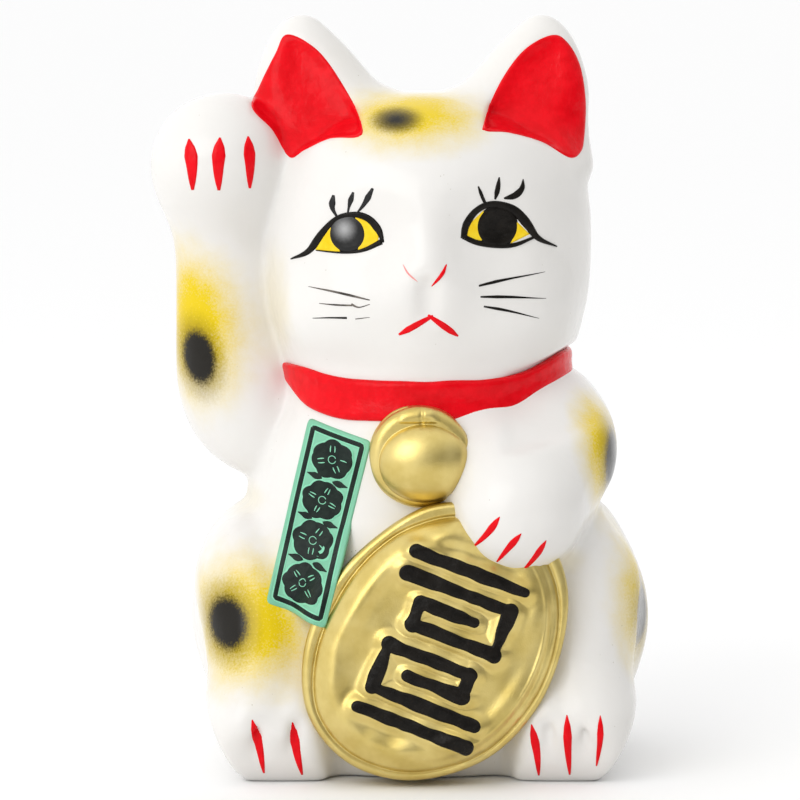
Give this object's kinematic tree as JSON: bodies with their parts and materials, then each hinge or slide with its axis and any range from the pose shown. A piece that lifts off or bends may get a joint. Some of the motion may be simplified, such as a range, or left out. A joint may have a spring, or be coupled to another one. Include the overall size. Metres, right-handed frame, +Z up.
{
  "type": "beckoning cat figurine",
  "caption": "Seated glazed ceramic cat coin bank with one raised paw, red collar, bell and oval gold coin; base stopper pulls out.",
  "frame": {"origin": "middle of the ring that the base stands on, on the resting plane", "axes": "+Z up through the head; -Y is the way the cat faces; +X is the cat's left, the side of the resting paw"},
  "size_m": [0.12, 0.1081, 0.18],
  "materials": {
    "white_glaze": "gloss glaze over pale earthenware, with airbrushed yellow and black spots",
    "red_enamel": "gloss brushed enamel",
    "gold_paint": "satin gold paint on glaze",
    "black_enamel": "semi-gloss brushed enamel",
    "label_paper": "printed gloss paper",
    "stopper_plastic": "soft translucent white plastic"
  },
  "bodies": {
    "casting": {"torso_shell": "white_glaze", "head_shell": "white_glaze", "right_ear": "white_glaze", "left_ear": "white_glaze", "raised_arm": "white_glaze", "resting_arm": "white_glaze", "right_foot": "white_glaze", "left_foot": "white_glaze", "tail": "white_glaze", "collar": "red_enamel", "bell": "gold_paint", "koban": "gold_paint", "koban_motif": "black_enamel", "label": "label_paper"},
    "stopper": {"stopper": "stopper_plastic"}
  },
  "joints": [
    {"name": "stopper_slide", "type": "slide", "parent": "casting", "child": "stopper", "axis": [0, 0, -1], "range_m": [0, 0.03]}
  ]
}
